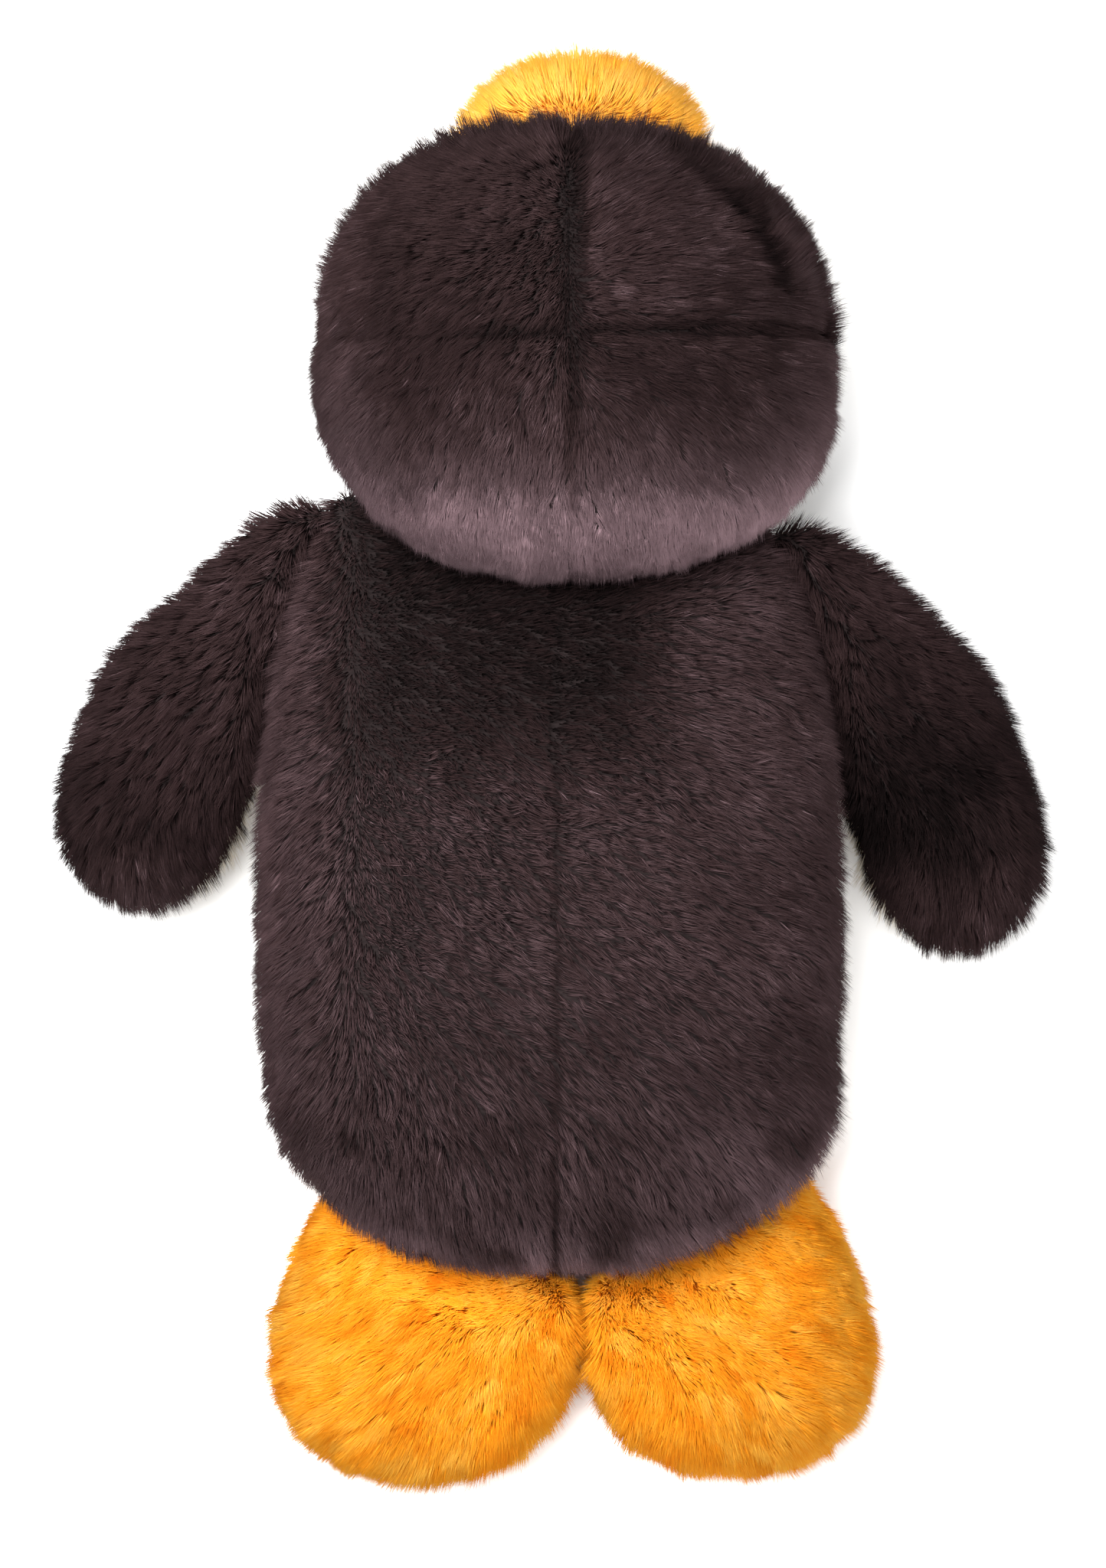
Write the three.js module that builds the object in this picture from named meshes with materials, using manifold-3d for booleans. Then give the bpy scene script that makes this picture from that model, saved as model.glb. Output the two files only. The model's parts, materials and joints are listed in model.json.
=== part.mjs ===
// Plush penguin, lying on its belly with its head tipped back. Millimetres, +Z up.
// The head points to -Y and the feet to +Y, and the toy's own left side is +X.
// Every sewn panel is a curved shell, and the stuffing fills what the panels enclose.
import * as THREE from 'three';
import * as BufferGeometryUtils from 'three/addons/utils/BufferGeometryUtils.js';
import Module from 'manifold-3d';

const wasm = await Module();
wasm.setup();

// ---------- driving dimensions ----------
const GAP = 0.3; // between any two pieces
const PLUSH = 3.6; // backing cloth and pile together
const MOVING_GAP = 0.7; // between pieces that move past each other
const REST_PRESS = 0.7; // how far soft pieces are pressed flat where they lie on a surface
const SIDES = [
  { name: 'left', sign: 1 },
  { name: 'right', sign: -1 },
];

const HEAD = {
  centre: new THREE.Vector3(-4, -72.3, 41.8),
  half: new THREE.Vector3(46, 41, 42.5),
  squareness: 2.3,
  rings: 14,
  segments: 16,
};
const NECK = { pivot: new THREE.Vector3(0, -42, 26), back: 8, forward: 15, steps: 3 }; // degrees
const CROSS_SEAM_Y = -3.2; // from the head's centre
// The seams round the face lie in planes: z = height - slope * y - roll * x, from the head's centre.
const CREST_SEAM = { height: -4, slope: 0.53, roll: 0.2 };
const BROW_SEAM = { height: -19, slope: 0.53, roll: 0 };
const CHIN_TOP = -27; // from the head's centre
const BEAK = {
  centre: new THREE.Vector3(-5.5, -106.5, 25.5),
  half: new THREE.Vector3(24.5, 18.6, 12.5),
  squareness: 2,
  rings: 10,
  segments: 12,
};
const EYE = { x: 29, z: -9.5, radius: 4.6, bulge: 3.2, sunk: 1.4, post: 1.5, postLength: 11 };
const WASHER = { radius: 5, thickness: 1.6, depth: 7.5 };

const TORSO = {
  halfWidth: 51.9,
  widestY: 36.7,
  topZ: 67,
  bottomZ: -1.2,
  squareness: 2.3,
  rings: 16,
  segments: 16,
  neck: { length: 98, poleZ: 17, widthPower: 3.2, heightPower: 1.5 },
  seat: { length: 51.9, poleZ: 30, widthPower: 2.4, heightPower: 2.4 },
};
const SIDE_SEAM = { neckY: -60, neckZ: 15, seatY: 88, seatZ: 30 };
const SEAT_SEAM = { lowY: 60, highY: 87, highZ: 34 };

const WING = {
  rings: 10,
  segments: 10,
  rootHalfWidth: 23,
  midHalfWidth: 16.2,
  rootHalfThickness: 6.5,
  tipHalfThickness: 11.5,
  tipRound: 17,
  rootRound: 6,
  rootZ: 26.5,
  tipZ: 12.2,
  seamSlope: 0.45,
  fullThicknessAt: 0.6, // share of the way to the tip
  roundPower: 2,
  raise: 45, // degrees up from rest
  lower: 8, // degrees down from rest
  steps: 4,
};
const WING_PATHS = {
  left: [new THREE.Vector2(38, -26), new THREE.Vector2(70, -19), new THREE.Vector2(70.5, 25)],
  right: [new THREE.Vector2(-38, -24), new THREE.Vector2(-71, -17), new THREE.Vector2(-70.5, 32.5)],
};
const WING_HINGES = {
  left: [new THREE.Vector3(43, -46, 24), new THREE.Vector3(50.5, -6, 29)],
  right: [new THREE.Vector3(-45, -42, 24), new THREE.Vector3(-51.5, -2, 29)],
};

const FOOT = {
  rings: 10,
  segments: 12,
  ankleLength: 40,
  anklePower: 1.9,
  toePower: 2.2,
  topZ: 27,
  bottomZ: -REST_PRESS,
  poleZ: 13,
  squareness: 2.2,
  raise: 20, // degrees up from rest
  lower: 6, // degrees down from rest
  steps: 2,
};
const FEET = {
  left: { x: 22.2, widestY: 102, halfWidth: 27, toeLength: 23 },
  right: { x: -32, widestY: 103, halfWidth: 25.5, toeLength: 20.5 },
};
const ANKLE = { y: 72, z: 14 };

const BIG = 500; // larger than the toy
const SAME_POINT = 1e-4; // points closer than this are one
const LATHE_SEGMENTS = 12; // round an eye or a washer
const DOME_STEPS = 4; // from an eye's rim to its middle

// ---------- materials ----------
const CLOTH_ROUGHNESS = 0.95;

function material(color, roughness) {
  return new THREE.MeshStandardMaterial({ color, roughness, metalness: 0 });
}

const MATERIALS = {
  darkPlush: () => material(0x3f3031, CLOTH_ROUGHNESS),
  creamPlush: () => material(0xf1e8da, CLOTH_ROUGHNESS),
  orangePlush: () => material(0xf69f26, CLOTH_ROUGHNESS),
  yellowPlush: () => material(0xfac461, CLOTH_ROUGHNESS),
  fibre: () => material(0xf5f4f0, CLOTH_ROUGHNESS),
  blackPlastic: () => material(0x0b0908, 0.12),
  whitePlastic: () => material(0xe9e9e4, 0.5),
};

// ---------- solids ----------
const X_AXIS = new THREE.Vector3(1, 0, 0);
const Y_AXIS = new THREE.Vector3(0, 1, 0);
const Z_AXIS = new THREE.Vector3(0, 0, 1);

function toSolid(geometry) {
  const bare = geometry.clone();
  bare.deleteAttribute('normal');
  bare.deleteAttribute('uv');
  const merged = BufferGeometryUtils.mergeVertices(bare, SAME_POINT);
  return new wasm.Manifold(new wasm.Mesh({
    numProp: 3,
    vertProperties: new Float32Array(merged.attributes.position.array),
    triVerts: new Uint32Array(merged.index.array),
  }));
}

function toGeometry(solid) {
  const mesh = solid.getMesh();
  const geometry = new THREE.BufferGeometry();
  const points = new Float32Array(mesh.vertProperties);
  geometry.setAttribute('position', new THREE.BufferAttribute(points, 3));
  geometry.setIndex(new THREE.BufferAttribute(new Uint32Array(mesh.triVerts), 1));
  geometry.computeVertexNormals();
  return geometry;
}

// A closed surface with a pole at each end. pointAt(u, v): u runs 0..1 from pole to pole, v is the
// angle around the axis.
function closedSurface(pointAt, rings, segments) {
  const points = [pointAt(0, 0)];
  for (let ring = 1; ring < rings; ring += 1) {
    for (let step = 0; step < segments; step += 1) {
      points.push(pointAt(ring / rings, (step / segments) * 2 * Math.PI));
    }
  }
  points.push(pointAt(1, 0));
  const last = points.length - 1;
  const at = (ring, step) => 1 + (ring - 1) * segments + (step % segments);
  const faces = [];
  for (let step = 0; step < segments; step += 1) {
    faces.push(0, at(1, step), at(1, step + 1));
    faces.push(last, at(rings - 1, step + 1), at(rings - 1, step));
    for (let ring = 1; ring < rings - 1; ring += 1) {
      faces.push(at(ring, step), at(ring + 1, step), at(ring + 1, step + 1));
      faces.push(at(ring, step), at(ring + 1, step + 1), at(ring, step + 1));
    }
  }
  const geometry = new THREE.BufferGeometry().setFromPoints(points);
  geometry.setIndex(faces);
  return toSolid(geometry);
}

function signedPower(value, power) {
  return Math.sign(value) * Math.abs(value) ** power;
}

// How full a rounded form still is at a share of the way from its middle to its end.
function fullness(share, power) {
  return Math.max(0, 1 - share ** power) ** (1 / power);
}

// A rounded form with its poles on Y. grow is how far its surface stands outside its own size.
function oval(form, grow) {
  const half = form.half.clone().addScalar(grow);
  const pointAt = (u, v) => {
    const ringRadius = Math.sin(u * Math.PI);
    const direction = new THREE.Vector3(
      ringRadius * Math.cos(v),
      -Math.cos(u * Math.PI),
      ringRadius * Math.sin(v),
    );
    const reach = Math.abs(direction.x / half.x) ** form.squareness
      + Math.abs(direction.y / half.y) ** form.squareness
      + Math.abs(direction.z / half.z) ** form.squareness;
    return direction.multiplyScalar(reach ** (-1 / form.squareness)).add(form.centre);
  };
  return closedSurface(pointAt, form.rings, form.segments);
}

function sectionPoint(x, halfWidth, y, top, bottom, v, squareness) {
  const power = 2 / squareness;
  return new THREE.Vector3(
    x + halfWidth * signedPower(Math.cos(v), power),
    y,
    (top + bottom) / 2 + ((top - bottom) / 2) * signedPower(Math.sin(v), power),
  );
}

function torso(grow) {
  const pointAt = (u, v) => {
    const along = -Math.cos(u * Math.PI);
    const end = along < 0 ? TORSO.neck : TORSO.seat;
    const share = Math.abs(along);
    const wide = fullness(share, end.widthPower);
    const tall = fullness(share, end.heightPower);
    const y = TORSO.widestY + along * (end.length + grow);
    const top = end.poleZ + (TORSO.topZ + grow - end.poleZ) * tall;
    const bottom = end.poleZ + (TORSO.bottomZ - grow - end.poleZ) * tall;
    return sectionPoint(0, (TORSO.halfWidth + grow) * wide, y, top, bottom, v, TORSO.squareness);
  };
  return closedSurface(pointAt, TORSO.rings, TORSO.segments);
}

function foot(shape, grow) {
  const pointAt = (u, v) => {
    const along = -Math.cos(u * Math.PI);
    const length = (along < 0 ? FOOT.ankleLength : shape.toeLength) + grow;
    const full = fullness(Math.abs(along), along < 0 ? FOOT.anklePower : FOOT.toePower);
    const top = FOOT.poleZ + (FOOT.topZ + grow - FOOT.poleZ) * full;
    const bottom = FOOT.poleZ + (FOOT.bottomZ - grow - FOOT.poleZ) * full;
    const y = shape.widestY + along * length;
    return sectionPoint(shape.x, (shape.halfWidth + grow) * full, y, top, bottom, v, FOOT.squareness);
  };
  return closedSurface(pointAt, FOOT.rings, FOOT.segments);
}

// A flipper that widens into its root and ends in a half round. Its section lies across its path.
function wing(side, grow) {
  const [root, bend, tip] = WING_PATHS[side];
  const path = new THREE.QuadraticBezierCurve(root, bend, tip);
  const length = path.getLength();
  const pointAt = (u, v) => {
    const share = (1 - Math.cos(u * Math.PI)) / 2;
    const place = THREE.MathUtils.lerp(-grow, length + grow, share);
    const onPath = THREE.MathUtils.clamp(place / length, 0, 1);
    const centre = path.getPointAt(onPath);
    const forward = path.getTangentAt(onPath);
    centre.addScaledVector(forward, place - onPath * length);
    const tipRound = Math.max(0, (place - (length + grow - WING.tipRound)) / WING.tipRound);
    const rootRound = Math.max(0, (WING.rootRound - grow - place) / WING.rootRound);
    const full = fullness(Math.min(1, Math.max(tipRound, rootRound)), WING.roundPower);
    const widening = (1 - onPath) ** 2;
    const halfWidth = THREE.MathUtils.lerp(WING.midHalfWidth, WING.rootHalfWidth, widening) + grow;
    const thickening = Math.min(1, onPath / WING.fullThicknessAt);
    const halfThickness = THREE.MathUtils.lerp(
      WING.rootHalfThickness,
      WING.tipHalfThickness,
      thickening,
    ) + grow;
    const across = halfWidth * full * Math.cos(v);
    return new THREE.Vector3(
      centre.x + forward.y * across,
      centre.y - forward.x * across,
      THREE.MathUtils.lerp(WING.rootZ, WING.tipZ, onPath) + halfThickness * full * Math.sin(v),
    );
  };
  return closedSurface(pointAt, WING.rings, WING.segments);
}

// Everything on the side of a plane that its normal points to, less half the gap between pieces.
function beyond(point, normal) {
  const box = new THREE.BoxGeometry(BIG, BIG, BIG);
  box.translate(0, 0, (BIG + GAP) / 2);
  const turn = new THREE.Quaternion().setFromUnitVectors(Z_AXIS, normal.clone().normalize());
  box.applyQuaternion(turn);
  box.translate(point.x, point.y, point.z);
  return toSolid(box);
}

function bothSides(point, normal) {
  return [beyond(point, normal), beyond(point, normal.clone().negate())];
}

// Above and below a seam's plane, which is given from the head's centre.
function bothSidesOfSeam(seam) {
  const point = HEAD.centre.clone().setZ(HEAD.centre.z + seam.height);
  return bothSides(point, new THREE.Vector3(seam.roll, seam.slope, 1));
}

function flattened(solid) {
  const above = new THREE.BoxGeometry(BIG, BIG, BIG);
  above.translate(0, 0, BIG / 2);
  return solid.intersect(toSolid(above));
}

// The solid turned by some degrees about a hinge.
function turned(solid, pivot, axis, degrees) {
  const turn = new THREE.Matrix4().makeRotationAxis(axis, THREE.MathUtils.degToRad(degrees));
  const matrix = new THREE.Matrix4().makeTranslation(pivot)
    .multiply(turn)
    .multiply(new THREE.Matrix4().makeTranslation(pivot.clone().negate()));
  return solid.transform(matrix.elements);
}

// Cuts away what the other solid covers at some even steps as it turns between two angles.
function clearOf(solid, other, pivot, axis, from, to, steps) {
  let result = solid;
  for (let step = 0; step <= steps; step += 1) {
    result = result.subtract(turned(other, pivot, axis, from + ((to - from) * step) / steps));
  }
  return result;
}

// ---------- head ----------
function eyePlace(sign) {
  const { half, centre, squareness } = HEAD;
  const rest = 1 - (EYE.x / half.x) ** squareness - Math.abs(EYE.z / half.z) ** squareness;
  return new THREE.Vector3(sign * EYE.x, -half.y * rest ** (1 / squareness), EYE.z).add(centre);
}

// A turned shape whose own +Y points straight out of the head at the eye.
function turnedAtEye(profile, sign) {
  const place = eyePlace(sign);
  const out = place.clone().sub(HEAD.centre).divide(HEAD.half).divide(HEAD.half).normalize();
  const geometry = new THREE.LatheGeometry(profile, LATHE_SEGMENTS);
  geometry.applyQuaternion(new THREE.Quaternion().setFromUnitVectors(Y_AXIS, out));
  geometry.translate(place.x, place.y, place.z);
  return toSolid(geometry);
}

function eyeProfile(grow) {
  const profile = [
    new THREE.Vector2(0, -EYE.postLength - grow),
    new THREE.Vector2(EYE.post + grow, -EYE.postLength - grow),
    new THREE.Vector2(EYE.post + grow, -EYE.sunk - grow),
  ];
  for (let step = 0; step <= DOME_STEPS; step += 1) {
    const angle = (step / DOME_STEPS) * (Math.PI / 2);
    const radius = step === DOME_STEPS ? 0 : (EYE.radius + grow) * Math.cos(angle);
    const height = (EYE.bulge + 2 * grow) * Math.sin(angle) - EYE.sunk - grow;
    profile.push(new THREE.Vector2(radius, height));
  }
  return profile;
}

function washerProfile(grow) {
  const low = -WASHER.depth - WASHER.thickness / 2 - grow;
  const high = -WASHER.depth + WASHER.thickness / 2 + grow;
  const inner = EYE.post + GAP - grow;
  return [
    new THREE.Vector2(inner, low),
    new THREE.Vector2(WASHER.radius + grow, low),
    new THREE.Vector2(WASHER.radius + grow, high),
    new THREE.Vector2(inner, high),
    new THREE.Vector2(inner, low),
  ];
}

function headPieces() {
  const outside = flattened(oval(HEAD, 0));
  let shell = outside.subtract(oval(HEAD, -PLUSH));
  let stuffing = oval(HEAD, -PLUSH - GAP);
  const pieces = {};
  for (const { name, sign } of SIDES) {
    pieces[`eye_${name}`] = turnedAtEye(eyeProfile(0), sign);
    pieces[`eye_washer_${name}`] = turnedAtEye(washerProfile(0), sign);
    shell = shell.subtract(turnedAtEye(eyeProfile(GAP), sign));
    stuffing = stuffing.subtract(turnedAtEye(eyeProfile(GAP), sign));
    stuffing = stuffing.subtract(turnedAtEye(washerProfile(GAP), sign));
  }
  pieces.head_stuffing = stuffing;

  const [cap, belowCap] = bothSidesOfSeam(CREST_SEAM);
  const [aboveBrow, belowBrow] = bothSidesOfSeam(BROW_SEAM);
  const seam = HEAD.centre.clone().setY(HEAD.centre.y + CROSS_SEAM_Y);
  const [nape, crown] = bothSides(seam, Y_AXIS);
  const chinPoint = HEAD.centre.clone().setZ(HEAD.centre.z + CHIN_TOP);
  const [aboveChin, chin] = bothSides(chinPoint, Z_AXIS);
  for (const { name, sign } of SIDES) {
    const half = beyond(HEAD.centre, new THREE.Vector3(sign, 0, 0));
    const capHalf = shell.intersect(cap).intersect(half);
    pieces[`crown_${name}`] = capHalf.intersect(crown);
    pieces[`nape_${name}`] = capHalf.intersect(nape);
    pieces[`face_${name}`] = shell.intersect(belowBrow).intersect(aboveChin).intersect(half);
  }
  pieces.brow_band = shell.intersect(belowCap).intersect(aboveBrow);
  pieces.chin = shell.intersect(belowBrow).intersect(chin);
  return pieces;
}

function beakPieces() {
  const headFront = oval(HEAD, GAP);
  const inside = oval(BEAK, -PLUSH).subtract(headFront);
  const shell = oval(BEAK, 0).subtract(oval(BEAK, -PLUSH)).subtract(headFront);
  const [upper, lower] = bothSides(BEAK.centre, Z_AXIS);
  return {
    beak_upper: shell.intersect(upper),
    beak_lower: shell.intersect(lower),
    beak_stuffing: inside.intersect(oval(BEAK, -PLUSH - GAP)),
  };
}

// ---------- torso ----------
function torsoPieces() {
  const movingHead = oval(HEAD, MOVING_GAP);
  const { pivot, back: backward, forward, steps } = NECK;
  const clear = (solid) => clearOf(solid, movingHead, pivot, X_AXIS, -backward, forward, steps);
  const shell = clear(flattened(torso(0)).subtract(torso(-PLUSH)));
  const { neckY, neckZ, seatY, seatZ } = SIDE_SEAM;
  const sideNormal = new THREE.Vector3(0, -(seatZ - neckZ) / (seatY - neckY), 1);
  const [back, front] = bothSides(new THREE.Vector3(0, neckY, neckZ), sideNormal);
  const seatNormal = new THREE.Vector3(0, SEAT_SEAM.highZ, -(SEAT_SEAM.highY - SEAT_SEAM.lowY));
  const [seat, aheadOfSeat] = bothSides(new THREE.Vector3(0, SEAT_SEAM.lowY, 0), seatNormal);
  const pieces = {
    seat: shell.intersect(seat),
    body_stuffing: clear(torso(-PLUSH - GAP)),
  };
  for (const { name, sign } of SIDES) {
    const ownSide = beyond(new THREE.Vector3(), new THREE.Vector3(sign, 0, 0));
    const half = shell.intersect(aheadOfSeat).intersect(ownSide);
    pieces[`back_${name}`] = half.intersect(back);
    pieces[`belly_${name}`] = half.intersect(front);
  }
  return pieces;
}

// ---------- wings and feet ----------
function wingPieces(side, sign) {
  const [start, end] = WING_HINGES[side];
  const axis = end.clone().sub(start).normalize().multiplyScalar(-sign);
  const body = torso(MOVING_GAP);
  const clear = (solid) => clearOf(solid, body, start, axis, -WING.raise, WING.lower, WING.steps);
  const shell = clear(wing(side, 0).subtract(wing(side, -PLUSH)));
  const seamPoint = new THREE.Vector3(WING_PATHS[side][0].x, 0, WING.rootZ);
  const [back, front] = bothSides(seamPoint, new THREE.Vector3(sign * WING.seamSlope, 0, 1));
  return {
    [`wing_${side}_back`]: shell.intersect(back),
    [`wing_${side}_front`]: shell.intersect(front),
    [`wing_${side}_stuffing`]: clear(wing(side, -PLUSH - GAP)),
  };
}

function footPieces(side) {
  const shape = FEET[side];
  const pivot = new THREE.Vector3(shape.x, ANKLE.y, ANKLE.z);
  const body = torso(MOVING_GAP);
  const clear = (solid) => clearOf(solid, body, pivot, X_AXIS, -FOOT.raise, FOOT.lower, FOOT.steps);
  const shell = clear(flattened(foot(shape, 0)).subtract(foot(shape, -PLUSH)));
  const seamPoint = new THREE.Vector3(0, 0, FOOT.poleZ);
  const [sole, instep] = bothSides(seamPoint, Z_AXIS);
  return {
    [`foot_${side}_sole`]: shell.intersect(sole),
    [`foot_${side}_instep`]: shell.intersect(instep),
    [`foot_${side}_stuffing`]: clear(foot(shape, -PLUSH - GAP)),
  };
}

// ---------- assembly ----------
const MATERIAL_OF = [
  [/stuffing/, MATERIALS.fibre],
  [/washer/, MATERIALS.whitePlastic],
  [/^eye/, MATERIALS.blackPlastic],
  [/^beak/, MATERIALS.yellowPlush],
  [/^foot/, MATERIALS.orangePlush],
  [/^(face|chin|belly)|front$/, MATERIALS.creamPlush],
  [/./, MATERIALS.darkPlush],
];

const penguin = new THREE.Group();
penguin.name = 'plush_penguin';

function addPieces(pieces) {
  for (const [name, solid] of Object.entries(pieces)) {
    const makeMaterial = MATERIAL_OF.find(([pattern]) => pattern.test(name))[1];
    const mesh = new THREE.Mesh(toGeometry(solid), makeMaterial());
    mesh.name = name;
    penguin.add(mesh);
  }
}

addPieces(headPieces());
addPieces(beakPieces());
addPieces(torsoPieces());
for (const { name, sign } of SIDES) {
  addPieces(wingPieces(name, sign));
  addPieces(footPieces(name));
}

// The origin is under the middle of the whole toy, on the surface that it lies on.
const box = new THREE.Box3().setFromObject(penguin);
const middle = box.getCenter(new THREE.Vector3());
penguin.position.set(-middle.x, -middle.y, -box.min.z);
penguin.updateMatrixWorld(true);

export default penguin;
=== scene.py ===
"""Looks of the plush penguin: cloth-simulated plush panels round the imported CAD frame, and a real pile of
fibres on every panel. Metres, +Z up; the head points to -Y, and the toy's own left side is +X."""
import json
import math

import bmesh
import bpy
import numpy as np
from mathutils import Matrix, Vector
from mathutils.bvhtree import BVHTree
from mathutils.kdtree import KDTree


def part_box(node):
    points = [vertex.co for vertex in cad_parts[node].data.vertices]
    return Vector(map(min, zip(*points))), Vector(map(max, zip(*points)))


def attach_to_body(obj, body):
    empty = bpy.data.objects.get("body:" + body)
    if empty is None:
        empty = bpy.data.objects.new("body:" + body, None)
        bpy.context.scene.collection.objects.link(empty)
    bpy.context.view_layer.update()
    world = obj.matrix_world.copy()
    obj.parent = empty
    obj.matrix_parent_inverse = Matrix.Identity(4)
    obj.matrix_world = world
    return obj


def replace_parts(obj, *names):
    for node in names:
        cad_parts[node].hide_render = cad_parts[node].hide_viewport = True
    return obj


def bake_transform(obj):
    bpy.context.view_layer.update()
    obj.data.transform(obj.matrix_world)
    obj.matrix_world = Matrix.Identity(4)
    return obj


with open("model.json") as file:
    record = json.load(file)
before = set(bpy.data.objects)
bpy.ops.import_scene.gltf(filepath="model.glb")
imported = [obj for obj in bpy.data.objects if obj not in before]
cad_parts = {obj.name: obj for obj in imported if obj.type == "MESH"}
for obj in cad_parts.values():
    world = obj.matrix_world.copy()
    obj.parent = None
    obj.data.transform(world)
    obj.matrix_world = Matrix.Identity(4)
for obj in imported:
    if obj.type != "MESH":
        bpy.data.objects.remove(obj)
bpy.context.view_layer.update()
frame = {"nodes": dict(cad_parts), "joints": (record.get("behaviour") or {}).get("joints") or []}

MM = 0.001
SIDES = {"left": 1, "right": -1}

# ---------- driving sizes ----------
PILE_DEPTH = 2.2 * MM  # the backing cloth lies this far under the panels' outer surface
SEAM_REACH = 5.0 * MM  # how far from a seam the cloth is drawn in
SEAM_PULL = 1.5 * MM  # how deep it is drawn in
SEAM_PROBE = 1.5 * MM  # seams are looked for this far under the surface
FAINT_SEAM = 0.15  # how much of a seam shows at a faint place
PUFF_CAP = 1.2 * MM  # how far the filling may push the cloth out
PUFF_PRESSURE = 4
PUFF_FRAMES = 15
PUFF_MASS = 0.15  # kilograms at each vertex of the simulated cloth
PIN_GAIN = 1.6  # how firmly the cloth next to a seam is pinned, against how near the seam is
VOXEL = 3.2 * MM
BARE_RANGE = (0.8 * MM, 3 * MM)  # from a panel to where the filling is bare
NEIGHBOUR_RANGE = (4 * MM, 9 * MM)  # from the next part to where bare filling stays in place
CLOTH_THICKNESS = 0.8 * MM
PANEL_THICKNESS = 3.6 * MM  # of the CAD panels
LOWEST_CLOTH = 0.8 * MM  # above the floor
FLOOR_CLEARANCE = 0.1 * MM  # of the fibres

FILLING_INSET = 2.4 * MM  # from the cloth's outer side
FILLING_LUMPS = 0.7 * MM
DEEPEST_INSET = 0.35  # as a share of the way through a form
RAY_OFFSET = 0.1 * MM

SQUARE_CENTIMETRES = 1e4  # in a square metre
MOST_FIBRES = 49500  # in one piece
DENSITY_SHARE = 1.0
UNDERSIDE = -0.35  # surfaces whose normal points down more than this have fewer fibres
UNDERSIDE_SHARE = 0.4
ROOT_DEPTH = 0.3 * MM  # fibres start this far under the cloth's outer side
FEWEST_TUFTS = 8
FIBRE_TURN = 0.12  # random turn of each fibre, in radians
FIBRE_LIFT = 0.1  # and random lift
LIFT_WAVE = 0.22  # slow change of lift over a panel, in radians
LIFT_RANGE = (0.1, 1.45)
UPRIGHT_LIFT = 50  # degrees added where a comb says fully upright
UPRIGHT_LENGTH = 0.6  # share of the length added there
LENGTH_RANGE = (0.75, 1.12)
RADIUS_RANGE = (0.8, 1.2)
GATHER_RANGE = (0.3, 1)
TUFT_LENGTH = 0.12  # random change of length from tuft to tuft
PARTED_LENGTH = 0.45  # how much shorter the pile is at a seam
PARTED_PAINTED_SHADE = 0.4  # and how much darker, as painted shade in the parting
TONE_SPREAD = 0.1  # from fibre to fibre
TONE_WIDTH = 1 / 96  # a fibre's width across the tone map
TONE_MARGIN = 0.01


# ---------- meshes as arrays ----------
def arrays_of(mesh):
    """Vertex positions, vertex normals and triangles of a mesh."""
    mesh.calc_loop_triangles()
    points = np.empty(len(mesh.vertices) * 3, np.float32)
    mesh.vertices.foreach_get("co", points)
    normals = np.empty(len(mesh.vertices) * 3, np.float32)
    mesh.vertices.foreach_get("normal", normals)
    triangles = np.empty(len(mesh.loop_triangles) * 3, np.int32)
    mesh.loop_triangles.foreach_get("vertices", triangles)
    return (
        points.reshape(-1, 3).astype(float),
        normals.reshape(-1, 3).astype(float),
        triangles.reshape(-1, 3),
    )


def set_points(mesh, points):
    mesh.vertices.foreach_set("co", np.ascontiguousarray(points, np.float32).ravel())
    mesh.update()


def new_object(name, data):
    piece = bpy.data.objects.new(name, data)
    bpy.context.scene.collection.objects.link(piece)
    return piece


def smooth_shaded(mesh):
    mesh.polygons.foreach_set("use_smooth", np.ones(len(mesh.polygons), bool))


def length_of(vectors):
    return np.linalg.norm(vectors, axis=-1, keepdims=True)


def unit(vectors):
    return vectors / np.maximum(length_of(vectors), 1e-12)


def along_surface(vectors, normals):
    """The part of each vector that lies along the surface, as a unit vector."""
    return unit(vectors - normals * (vectors * normals).sum(1, keepdims=True))


def turned(vectors, normals, angles):
    """Each tangent vector turned about its normal."""
    across = np.cross(normals, vectors)
    return vectors * np.cos(angles)[:, None] + across * np.sin(angles)[:, None]


def eased(value, low, high):
    """0 up to low, 1 from high on, and a smooth step between them."""
    share = np.clip((value - low) / (high - low), 0, 1)
    return share * share * (3 - 2 * share)


def noise(points, cell, seed):
    """Smooth random values from -1 to 1 that change over about one cell."""
    size = 32  # cells along each side before the values repeat
    shift = 1000.0  # of the places, in cells
    table = np.random.default_rng(seed).uniform(-1, 1, (size, size, size))
    places = points / cell + shift
    low = np.floor(places).astype(int)
    part = places - low
    part = part * part * (3 - 2 * part)
    result = np.zeros(len(points))
    for corner in np.ndindex(2, 2, 2):
        step = np.array(corner)
        weight = np.where(step, part, 1 - part).prod(1)
        at = (low + step) % size
        result += weight * table[at[:, 0], at[:, 1], at[:, 2]]
    return result


# ---------- soft forms ----------
def node_mesh(node):
    """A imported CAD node's mesh, which is only read."""
    return frame["nodes"][node].data


def joined(nodes):
    """The nodes in one new mesh."""
    solid = bmesh.new()
    for node in nodes:
        solid.from_mesh(node_mesh(node))
    mesh = bpy.data.meshes.new("form")
    solid.to_mesh(mesh)
    solid.free()
    return mesh


def applied(holder):
    """The holder's mesh with its modifiers applied. The holder is removed."""
    graph = bpy.context.evaluated_depsgraph_get()
    result = bpy.data.meshes.new_from_object(holder.evaluated_get(graph), depsgraph=graph)
    old = holder.data
    bpy.data.objects.remove(holder)
    bpy.data.meshes.remove(old)
    return result


def remeshed(mesh, voxel):
    holder = new_object("remesh", mesh)
    modifier = holder.modifiers.new("voxels", "REMESH")
    modifier.mode = "VOXEL"
    modifier.voxel_size = voxel
    result = applied(holder)
    keep_largest(result)
    return result


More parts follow.
